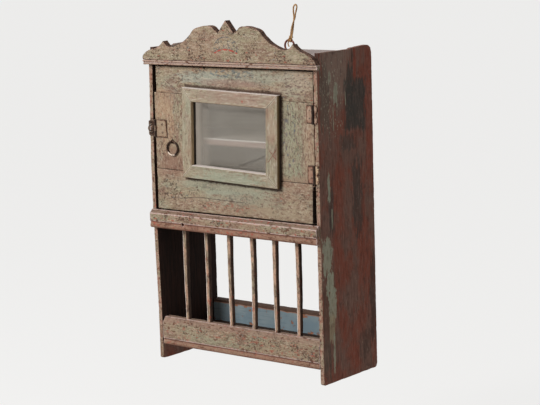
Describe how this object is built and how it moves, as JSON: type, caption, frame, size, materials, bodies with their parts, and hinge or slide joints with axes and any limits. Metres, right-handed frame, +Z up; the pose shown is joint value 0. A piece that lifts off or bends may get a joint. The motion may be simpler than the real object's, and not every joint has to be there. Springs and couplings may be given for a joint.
{
  "type": "wall cabinet",
  "caption": "Wall-hung cabinet with a glazed hinged door over an open rack with a barred front, a sawn crest, a hasp and a ring pull.",
  "frame": {"origin": "middle of the upper back board's rear face, on the wall", "axes": "+X to the right seen from the front, +Y into the wall, +Z up"},
  "size_m": [0.416, 0.1841, 0.6844],
  "materials": {
    "front_paint": "worn sage and beige paint over brown wood",
    "side_paint": "dark brown worn paint",
    "bare_wood": "aged bare wood",
    "blue_paint": "flaking blue-grey paint",
    "iron": "rusty forged iron",
    "glass": "dusty clear glass",
    "jute": "twisted jute"
  },
  "bodies": {
    "carcass": {"crest_board": "front_paint", "crest_bead": "front_paint", "mid_rail": "front_paint", "foot_rail": "front_paint", "bar_1": "front_paint", "bar_2": "front_paint", "bar_3": "front_paint", "bar_4": "front_paint", "bar_5": "front_paint", "bar_6": "front_paint", "side_left": "side_paint", "side_right": "side_paint", "top_board": "bare_wood", "mid_shelf": "bare_wood", "inner_shelf": "bare_wood", "rack_floor": "bare_wood", "back_board_lower": "bare_wood", "back_board_upper": "bare_wood", "shelf_cleat_left": "bare_wood", "shelf_cleat_right": "bare_wood", "back_rail": "blue_paint", "hinge_upper_side_leaf": "iron", "hinge_upper_pin": "iron", "hinge_lower_side_leaf": "iron", "hinge_lower_pin": "iron", "hasp_staple": "iron", "hanging_eye": "iron", "twine": "jute", "twine_knot": "jute", "twine_loop": "jute"},
    "door": {"door_top_rail": "front_paint", "door_foot_rail": "front_paint", "door_stile_latch": "front_paint", "door_stile_hinge": "front_paint", "moulding_top": "front_paint", "moulding_right": "front_paint", "moulding_foot": "front_paint", "moulding_left": "front_paint", "glass_pane": "glass", "glazing_strip_top": "bare_wood", "glazing_strip_foot": "bare_wood", "glazing_strip_left": "bare_wood", "glazing_strip_right": "bare_wood", "hinge_upper_door_leaf": "iron", "hinge_lower_door_leaf": "iron", "hasp_plate": "iron", "hasp_pin": "iron", "ring_staple": "iron"},
    "hasp": {"hasp_strap": "iron"},
    "ring": {"ring_pull": "iron"}
  },
  "joints": [
    {"name": "door_hinge", "type": "hinge", "parent": "carcass", "child": "door", "pos_m": [0.1902, -0.1726, -0.20835], "axis": [0, 0, 1], "range_deg": [0, 165]},
    {"name": "hasp_swing", "type": "hinge", "parent": "door", "child": "hasp", "pos_m": [-0.1875, -0.1726, -0.05235], "axis": [0, 0, 1], "range_deg": [0, 165]},
    {"name": "ring_swing", "type": "hinge", "parent": "door", "child": "ring", "pos_m": [-0.146, -0.1721, -0.07585], "axis": [-1, 0, 0], "range_deg": [0, 160]}
  ]
}
